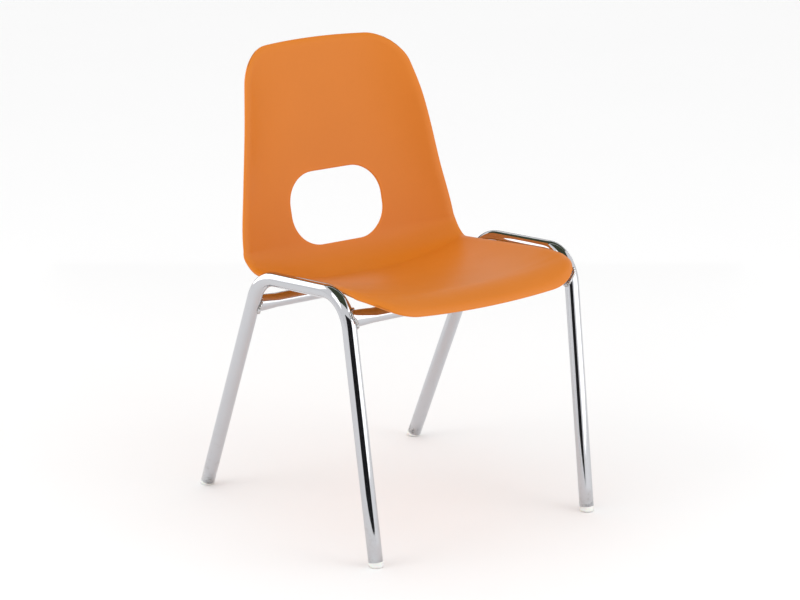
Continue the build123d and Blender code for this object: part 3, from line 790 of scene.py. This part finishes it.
def saddle(end, side):
    """A square-shouldered arch over the rail whose top runs into the shell wall."""
    channel = TUBE_RADIUS + SADDLE_CLEARANCE
    half = channel + SADDLE_WALL
    start = math.asin(SADDLE_REACH / channel)
    origin = rail_centre(end) + Vector((side * MOUNT_SPACING / 2, 0.0, 0.0))
    tilt = Matrix.Rotation(SEAT_SLOPE, 4, "X")
    rail_travel = PROFILE[0][2] + (0.0 if end == "front" else PROFILE[1][2] - SEAT_BEND_BEHIND_RAIL)
    block = bmesh.new()
    face = bmesh.ops.create_grid(block, x_segments=SADDLE_SLICES, y_segments=1, size=0.5)
    for vertex in face["verts"]:
        radius = channel + (vertex.co.y + 0.5) * SADDLE_WALL
        vertex.co = Vector((vertex.co.x * SADDLE_LENGTH, radius * math.cos(start), radius * math.sin(start)))
    whole = block.verts[:] + block.edges[:] + block.faces[:]
    bmesh.ops.spin(block, geom=whole, cent=(0, 0, 0), axis=(1, 0, 0), angle=math.pi - 2 * start,
                   steps=SADDLE_STEPS)
    for vertex in block.verts:
        x, y, z = vertex.co
        radius = math.hypot(y, z)
        if radius > channel + SADDLE_WALL / 2:
            stretch = half / max(abs(y), abs(z))
            y, z = y * stretch, z * stretch
            under = surface_point(origin.x + x, rail_travel + y, SHELL_THICKNESS / 2)
            z *= (tilt.inverted() @ (under - origin)).z / half
        vertex.co = origin + tilt @ Vector((x, y, z))
    sharp = [edge for edge in block.edges if edge.is_manifold and edge.calc_face_angle() > SHARP_ANGLE]
    bmesh.ops.bevel(block, geom=sharp, offset=SADDLE_EDGE, segments=SADDLE_SEGMENTS, profile=0.5,
                    material=-1, affect="EDGES", clamp_overlap=True)
    return block


for end in RAILS:
    for hand, side in SIDES.items():
        finished_piece(end + "_" + hand + "_saddle", saddle(end, side), orange_polypropylene,
                       "seat_shell")

# ---------------------------------------------------------------------------
# Screws and saddle washers.  Zinc-plated pan-head screws go up through hollow-topped
# washers and the rail into the saddles.  They keep the shape they have in the frame.
# ---------------------------------------------------------------------------


def mix_zinc():
    """Bright zinc plate: pale and slightly blue, with cloudy passivation and turning marks."""
    zinc = Finish("zinc_plate", Metallic=1.0)
    cloud = zinc.noise(180.0, 3.0, 0.6)
    tint = zinc.blend(zinc.span(cloud, 0.35, 0.65), (0.56, 0.57, 0.58, 1.0), (0.66, 0.64, 0.56, 1.0))
    zinc.feed(Base_Color=tint)
    zinc.feed(Roughness=0.26 + cloud * 0.18)
    zinc.relief(zinc.noise(900.0, 2.0), 0.2, 0.0003)
    return zinc.material


zinc_plate = mix_zinc()
for end in RAILS:
    for hand in SIDES:
        for part in ("shell_screw", "saddle_washer"):
            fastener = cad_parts[end + "_" + hand + "_" + part]
            for holder in fastener.material_slots:
                holder.material = zinc_plate

# ---------------------------------------------------------------------------
# Studio.  A wide pale floor under an even sky, two soft boxes, and dark and white cards
# that show only in reflections, set as a studio sets them to draw lines along bright metal.
# ---------------------------------------------------------------------------
FLOOR_HALF_SIZE = 40.0
STUDIO_MIDDLE = Vector((0.0, 0.0, 0.36))
CAMERA_AZIMUTH = math.radians(-36.3)
CAMERA_ELEVATION = math.radians(15.8)
CAMERA_DISTANCE = 4.870
CAMERA_TARGET = Vector((0.0106, 0.0, 0.360))
CAMERA_LENS = 126.0
SOFT_BOX_SIZE = 1.8
SOFT_BOX_DISTANCE = 3.4
CARD_ROUGHNESS = 0.8
CARD_GLOW = 1.2
SKY_STRENGTH = 1.0
MOTTLE_SHADE = 0.985
WHITE = (1.0, 1.0, 1.0, 1.0)


def bearing(azimuth, elevation):
    """Way out from the chair: azimuth 0 is in front of the sitter, 90 at the sitter's left."""
    flat = math.cos(elevation)
    return Vector((math.sin(azimuth) * flat, -math.cos(azimuth) * flat, math.sin(elevation)))


def beside_camera(azimuth, elevation, distance):
    """Place round the chair, its azimuth in degrees from the camera's."""
    outward = bearing(CAMERA_AZIMUTH + math.radians(azimuth), math.radians(elevation))
    return STUDIO_MIDDLE + outward * distance


def facing(place):
    """Turns a flat thing at a place towards the chair."""
    look = (STUDIO_MIDDLE - place).to_track_quat("-Z", "Y").to_matrix().to_4x4()
    return Matrix.Translation(place) @ look


def paper(name, colour, roughness):
    """Matt paint or card, with the slight unevenness of a rolled coat."""
    coat = Finish(name, Specular_IOR_Level=0.2, Roughness=roughness)
    mottle = coat.noise(1.5, 3.0)
    shade = tuple(value * MOTTLE_SHADE for value in colour[:3]) + (1.0,)
    coat.feed(Base_Color=coat.blend(mottle, shade, colour))
    return coat.material


def stage_sheet(name, half_width, half_height, matrix, finish):
    """Flat sheet of the studio, which isn't part of the chair."""
    sheet = bmesh.new()
    bmesh.ops.create_grid(sheet, x_segments=1, y_segments=1, size=1.0)
    bmesh.ops.scale(sheet, vec=(half_width, half_height, 1.0), verts=sheet.verts)
    bmesh.ops.transform(sheet, matrix=matrix, verts=sheet.verts)
    mesh = bpy.data.meshes.new(name)
    sheet.to_mesh(mesh)
    sheet.free()
    mesh.materials.append(finish)
    made = bpy.data.objects.new(name, mesh)
    bpy.context.scene.collection.objects.link(made)
    return made


def reflected_card(name, place, half_width, half_height, finish):
    """A card that shows only in reflections."""
    card = stage_sheet(name, half_width, half_height, facing(place), finish)
    card.visible_camera = False
    card.visible_diffuse = False
    card.visible_shadow = False
    card.visible_transmission = False


def soft_box(name, place, energy):
    """Square lamp, wide enough for soft shadows."""
    light = bpy.data.lights.new(name, "AREA")
    light.shape = "SQUARE"
    light.size = SOFT_BOX_SIZE
    light.energy = energy
    lamp = bpy.data.objects.new(name, light)
    lamp.matrix_world = facing(place)
    lamp.visible_camera = False
    bpy.context.scene.collection.objects.link(lamp)


floor_paint = paper("pale_floor", (0.95, 0.95, 0.95, 1.0), 0.7)
stage_sheet("floor", FLOOR_HALF_SIZE, FLOOR_HALF_SIZE, Matrix.Identity(4), floor_paint)
black_card = paper("black_card", (0.012, 0.012, 0.014, 1.0), CARD_ROUGHNESS)
olive_card = paper("olive_card", (0.055, 0.070, 0.040, 1.0), CARD_ROUGHNESS)
white_card = paper("white_card", (0.9, 0.9, 0.9, 1.0), CARD_ROUGHNESS)
glow = white_card.node_tree.nodes["Principled BSDF"].inputs
glow["Emission Color"].default_value = WHITE
glow["Emission Strength"].default_value = CARD_GLOW

# name, (azimuth from the camera, elevation, distance), half width, half height, card
CARDS = [
    ("flag_front", (3.0, 0.0, 0.85), 0.40, 0.355, black_card),
    ("flag_back", (180.0, -2.0, 1.6), 0.80, 0.32, black_card),
    ("flag_back_high", (180.0, 42.0, 1.9), 1.3, 0.50, olive_card),
    ("flag_rear", (204.0, 36.0, 1.7), 0.50, 0.45, olive_card),
    ("flag_overhead", (0.0, 88.0, 2.4), 1.6, 1.6, olive_card),
    ("card_right", (66.0, 4.0, 1.5), 0.85, 0.42, white_card),
    ("card_left", (-124.0, 20.0, 1.8), 0.72, 0.75, white_card),
]
for name, placing, half_width, half_height, finish in CARDS:
    reflected_card(name, beside_camera(*placing), half_width, half_height, finish)
soft_box("soft_box_left", beside_camera(-62.0, 38.0, SOFT_BOX_DISTANCE), 16.0)
soft_box("soft_box_right", beside_camera(68.0, 34.0, SOFT_BOX_DISTANCE), 14.0)

sky = bpy.data.worlds.new("even_sky")
sky.use_nodes = True
sky.node_tree.nodes["Background"].inputs["Color"].default_value = WHITE
sky.node_tree.nodes["Background"].inputs["Strength"].default_value = SKY_STRENGTH
bpy.context.scene.world = sky
bpy.context.scene.view_settings.view_transform = "Standard"

camera_data = bpy.data.cameras.new("camera")
camera_data.lens = CAMERA_LENS
camera_data.clip_end = 2 * FLOOR_HALF_SIZE
camera = bpy.data.objects.new("camera", camera_data)
towards_camera = bearing(CAMERA_AZIMUTH, CAMERA_ELEVATION)
camera.location = CAMERA_TARGET + towards_camera * CAMERA_DISTANCE
camera.rotation_euler = (-towards_camera).to_track_quat("-Z", "Y").to_euler()
bpy.context.scene.collection.objects.link(camera)
bpy.context.scene.camera = camera
